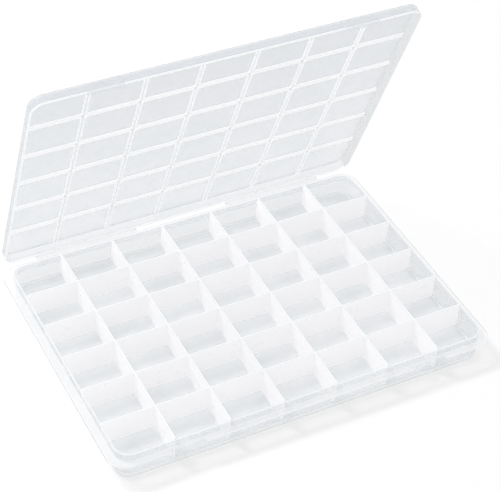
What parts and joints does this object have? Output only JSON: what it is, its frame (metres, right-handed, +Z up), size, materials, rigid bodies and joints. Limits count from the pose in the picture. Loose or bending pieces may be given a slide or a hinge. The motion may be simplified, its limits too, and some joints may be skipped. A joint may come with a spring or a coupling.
{
  "type": "bead storage box",
  "caption": "Flat clear plastic bead storage box: a shallow tray divided into a grid of compartments, with a hinged lid that snaps shut at the front.",
  "frame": {"origin": "centre of the tray's underside, on the surface that the foot skirt stands on", "axes": "+Z up, +X to the right along the long front side, +Y from the latch side to the hinge side; the lid stands open as in the picture"},
  "size_m": [0.3452, 0.2502, 0.2544],
  "materials": {
    "clear_wall": "glossy translucent polypropylene",
    "clear_floor": "glossy translucent polypropylene, seen over its own shadow",
    "milky_divider": "milky translucent polypropylene",
    "clear_lid": "glossy translucent polypropylene",
    "milky_rib": "milky translucent polypropylene ribs"
  },
  "bodies": {
    "tray": {"tray_floor": "clear_floor", "tray_wall": "clear_wall", "tray_flange": "clear_wall", "long_divider_1": "milky_divider", "long_divider_2": "milky_divider", "long_divider_3": "milky_divider", "long_divider_4": "milky_divider", "long_divider_5": "milky_divider", "long_divider_6": "milky_divider", "cross_divider_r1_c1": "milky_divider", "cross_divider_r1_c2": "milky_divider", "cross_divider_r1_c3": "milky_divider", "cross_divider_r1_c4": "milky_divider", "cross_divider_r1_c5": "milky_divider", "cross_divider_r1_c6": "milky_divider", "cross_divider_r1_c7": "milky_divider", "cross_divider_r2_c1": "milky_divider", "cross_divider_r2_c2": "milky_divider", "cross_divider_r2_c3": "milky_divider", "cross_divider_r2_c4": "milky_divider", "cross_divider_r2_c5": "milky_divider", "cross_divider_r2_c6": "milky_divider", "cross_divider_r2_c7": "milky_divider", "cross_divider_r3_c1": "milky_divider", "cross_divider_r3_c2": "milky_divider", "cross_divider_r3_c3": "milky_divider", "cross_divider_r3_c4": "milky_divider", "cross_divider_r3_c5": "milky_divider", "cross_divider_r3_c6": "milky_divider", "cross_divider_r3_c7": "milky_divider", "cross_divider_r4_c1": "milky_divider", "cross_divider_r4_c2": "milky_divider", "cross_divider_r4_c3": "milky_divider", "cross_divider_r4_c4": "milky_divider", "cross_divider_r4_c5": "milky_divider", "cross_divider_r4_c6": "milky_divider", "cross_divider_r4_c7": "milky_divider", "cross_divider_r5_c1": "milky_divider", "cross_divider_r5_c2": "milky_divider", "cross_divider_r5_c3": "milky_divider", "cross_divider_r5_c4": "milky_divider", "cross_divider_r5_c5": "milky_divider", "cross_divider_r5_c6": "milky_divider", "cross_divider_r5_c7": "milky_divider", "floor_feet": "clear_wall", "hinge_ledge_left": "clear_wall", "hinge_film_left": "clear_wall", "front_catch_left": "clear_wall", "hinge_ledge_right": "clear_wall", "hinge_film_right": "clear_wall", "front_catch_right": "clear_wall"},
    "lid": {"lid_panel": "clear_lid", "lid_skirt": "clear_wall", "lid_rib_rings": "milky_rib", "latch_left": "clear_wall", "hinge_lug_left": "clear_wall", "latch_right": "clear_wall", "hinge_lug_right": "clear_wall"}
  },
  "joints": [
    {"name": "lid_hinge", "type": "hinge", "parent": "tray", "child": "lid", "pos_m": [0, 0.1244, 0.023], "axis": [-1, 0, 0], "range_deg": [-70, 110]}
  ]
}
